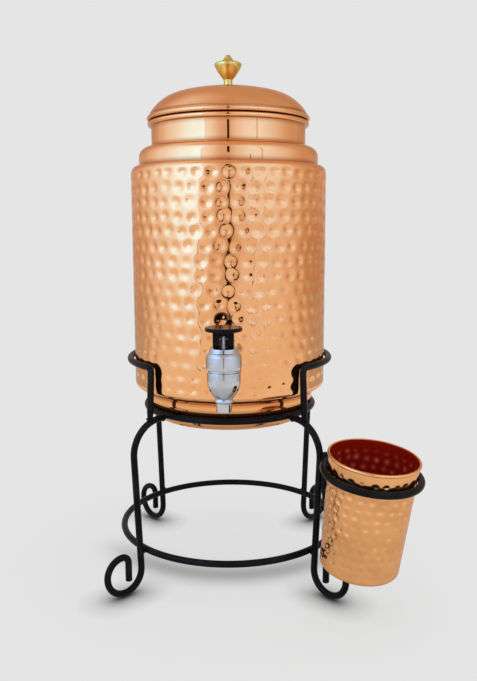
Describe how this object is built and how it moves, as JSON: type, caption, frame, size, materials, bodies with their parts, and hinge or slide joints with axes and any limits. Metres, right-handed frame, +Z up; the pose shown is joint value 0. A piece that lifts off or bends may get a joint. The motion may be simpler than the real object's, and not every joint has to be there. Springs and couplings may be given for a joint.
{
  "type": "water dispenser",
  "caption": "Hammered copper water pot with a lid and a lever tap, on a black bent-rod stand that carries a matching tumbler in a side ring.",
  "frame": {"origin": "on the pot's upright axis, at the ground under the stand's four feet", "axes": "+Z up along the pot's axis; -Y points out of the front, where the tap is; +X is the side of the tumbler as seen from the front"},
  "size_m": [0.2715, 0.2643, 0.4781],
  "materials": {
    "hammered_copper": "polished, hammered",
    "polished_copper": "polished",
    "tumbler_copper": "polished, lightly hammered",
    "polished_brass": "polished",
    "chrome": "polished",
    "steel": "turned",
    "black_rod": "satin powder coat",
    "black_plastic": "gloss",
    "rubber": "matt"
  },
  "bodies": {
    "stand": {"seat_ring": "black_rod", "base_ring": "black_rod", "leg_front_left": "black_rod", "leg_front_right": "black_rod", "leg_rear_left": "black_rod", "leg_rear_right": "black_rod", "guard_hoop": "black_rod", "cup_ring": "black_rod", "cup_hanger": "black_rod"},
    "vessel": {"vessel_wall": "hammered_copper", "vessel_shoulder": "polished_copper", "vessel_base": "polished_copper", "tap_body": "chrome", "tap_bonnet": "chrome", "tap_outer_washer": "rubber", "tap_inner_washer": "rubber", "tap_lock_nut": "chrome", "tap_spring": "steel"},
    "lid": {"lid_dome": "polished_copper", "lid_collar": "polished_copper", "lid_knob": "polished_brass", "knob_washer": "steel", "knob_screw": "steel"},
    "valve": {"tap_stem": "steel", "tap_seat_cup": "rubber", "tap_handle_pin": "steel"},
    "handle": {"tap_handle": "black_plastic"},
    "tumbler": {"tumbler": "tumbler_copper"}
  },
  "joints": [
    {"name": "vessel_lift", "type": "slide", "parent": "stand", "child": "vessel", "axis": [0, 0, 1], "range_m": [0, 0.16]},
    {"name": "lid_lift", "type": "slide", "parent": "vessel", "child": "lid", "axis": [0, 0, 1], "range_m": [0, 0.12]},
    {"name": "valve_lift", "type": "slide", "parent": "vessel", "child": "valve", "axis": [0, 0, 1], "range_m": [0, 0.00188], "deforming": ["tap_spring"]},
    {"name": "handle_tilt", "type": "hinge", "parent": "valve", "child": "handle", "pos_m": [0, -0.122, 0.2355], "axis": [1, 0, 0], "range_deg": [0, 30], "stiffness_Nm_per_rad": 0.03, "springref_deg": -11.46},
    {"name": "tumbler_lift", "type": "slide", "parent": "stand", "child": "tumbler", "axis": [0.096, -0.096, 0.9907], "range_m": [0, 0.12]}
  ],
  "couplings": [
    {"joint": "handle_tilt", "follows": "valve_lift", "rad_per_m": 277.7}
  ]
}
